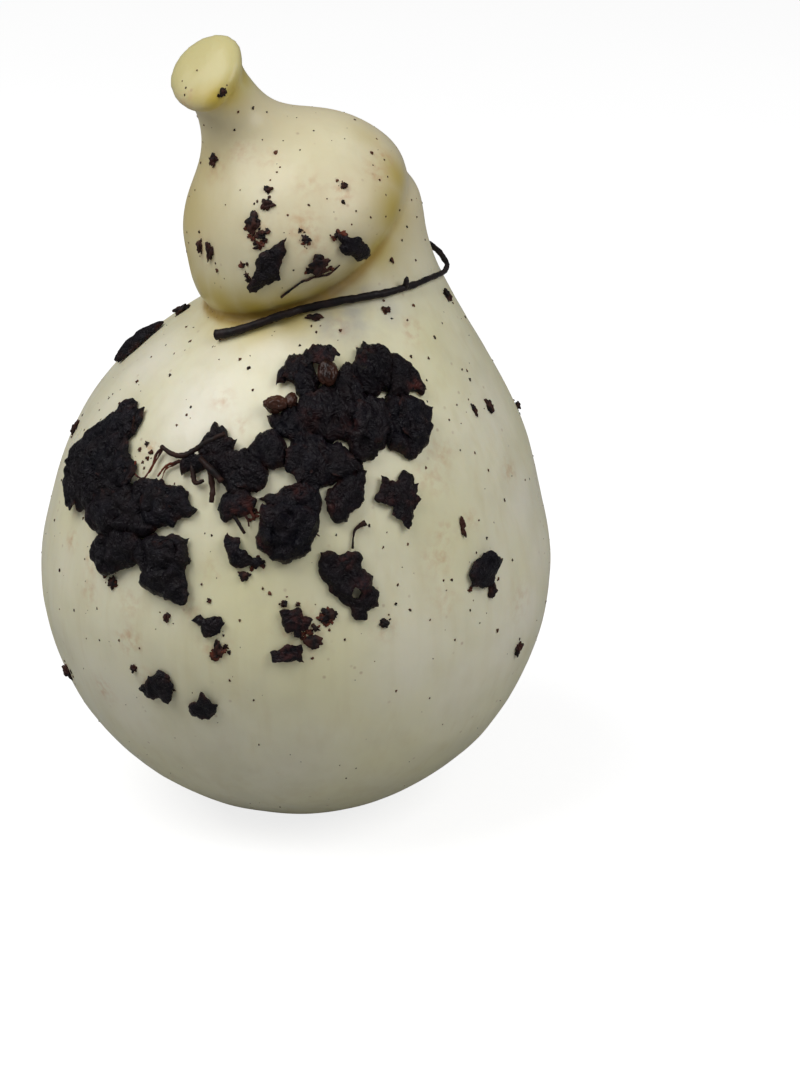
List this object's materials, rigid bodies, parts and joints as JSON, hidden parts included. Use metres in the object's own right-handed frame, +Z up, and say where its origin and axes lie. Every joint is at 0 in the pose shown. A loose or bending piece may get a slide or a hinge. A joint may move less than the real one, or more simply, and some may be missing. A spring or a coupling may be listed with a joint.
{
  "type": "caciocavallo",
  "caption": "Pear-shaped stretched-curd cheese with an overhanging tied head and flared stem, a vine twig round the neck and dark grape skins stuck on its smooth rind.",
  "frame": {"origin": "centre of the small flat foot the cheese rests on", "axes": "+Z up from the foot towards the stem, -Y the front with the heaps of grape skins, +X to the right seen from the front"},
  "size_m": [0.1524, 0.154, 0.2347],
  "materials": {
    "curd": "smooth waxy rind, ivory",
    "grape_skin": "dried, wrinkled, near-black purple",
    "vine_wood": "dark ridged bark"
  },
  "bodies": {
    "root": {"cheese": "curd", "neck_twig": "vine_wood", "pomace_left": "grape_skin", "pomace_right": "grape_skin", "pomace_back": "grape_skin", "skin_back_high": "grape_skin", "skin_back_low": "grape_skin", "skin_back_right": "grape_skin", "skin_cheek": "grape_skin", "skin_hook": "grape_skin", "skin_leaf": "grape_skin", "skin_left_low": "grape_skin", "skin_low": "grape_skin", "skin_pair": "grape_skin", "skin_right": "grape_skin", "skin_shoulder": "grape_skin", "skin_small": "grape_skin", "skin_square": "grape_skin", "skin_star": "grape_skin", "skin_under": "grape_skin"}
  },
  "joints": []
}
